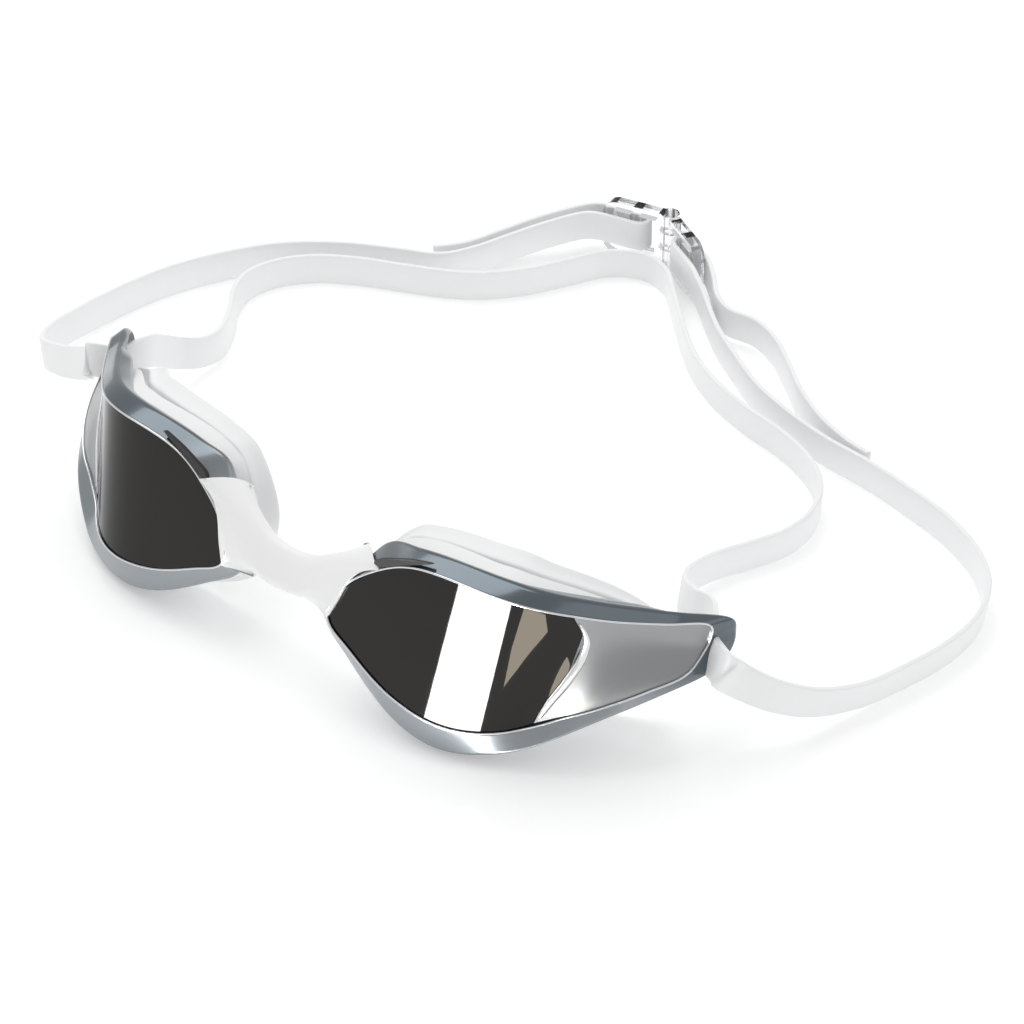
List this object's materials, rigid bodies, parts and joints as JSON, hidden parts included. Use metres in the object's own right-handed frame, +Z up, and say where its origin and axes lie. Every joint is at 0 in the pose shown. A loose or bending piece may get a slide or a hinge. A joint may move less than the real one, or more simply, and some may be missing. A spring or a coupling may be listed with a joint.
{
  "type": "swim goggles",
  "caption": "Racing swim goggles: mirrored wrap lenses in grey eye cups with soft gaskets, a hinged soft nose bridge, a looped head strap and a folding rear clip.",
  "frame": {"origin": "centre of the goggles' bounding box in plan, at the table they rest on", "axes": "+Z up, lenses face -Y, the wearer's left cup is at +X; X is the goggles' width"},
  "size_m": [0.2371, 0.1852, 0.0411],
  "materials": {
    "white_tpr": "satin",
    "white_silicone": "satin",
    "white_gasket": "soft satin",
    "clear_plastic": "clear polycarbonate, polished",
    "grey_gloss": "metallic grey, glossy",
    "satin_grey": "metallised satin grey",
    "mirror_lens": "dark mirror coating",
    "black_rubber": "matt"
  },
  "bodies": {
    "bridge_and_strap": {"nose_bridge": "white_tpr", "strap": "white_silicone", "clip_left": "clear_plastic", "clip_pin": "clear_plastic"},
    "left_cup": {"frame_left": "grey_gloss", "lens_left": "mirror_lens", "temple_panel_left": "satin_grey", "lens_seal_left": "black_rubber", "eye_housing_left": "clear_plastic", "gasket_left": "white_gasket", "gasket_ring_left": "clear_plastic", "nose_bar_left": "grey_gloss"},
    "right_cup": {"frame_right": "grey_gloss", "lens_right": "mirror_lens", "temple_panel_right": "satin_grey", "lens_seal_right": "black_rubber", "eye_housing_right": "clear_plastic", "gasket_right": "white_gasket", "gasket_ring_right": "clear_plastic", "nose_bar_right": "grey_gloss"},
    "clip_half": {"clip_right": "clear_plastic"}
  },
  "joints": [
    {"name": "right_cup_hinge", "type": "hinge", "parent": "bridge_and_strap", "child": "right_cup", "pos_m": [0.02018, -0.08213, 0.027], "axis": [0.5548, 0.2814, 0.783], "range_deg": [-6, 8], "stiffness_Nm_per_rad": 0.05, "deforming": ["strap"]},
    {"name": "left_cup_hinge", "type": "hinge", "parent": "bridge_and_strap", "child": "left_cup", "pos_m": [-0.01258, -0.08213, 0.027], "axis": [0.5548, -0.2814, -0.783], "range_deg": [-6, 8], "stiffness_Nm_per_rad": 0.05, "deforming": ["strap"]},
    {"name": "clip_fold", "type": "hinge", "parent": "bridge_and_strap", "child": "clip_half", "pos_m": [-0.0232, 0.09015, 0.00846], "axis": [0, 0, 1], "range_deg": [-10, 30], "deforming": ["strap"]}
  ]
}
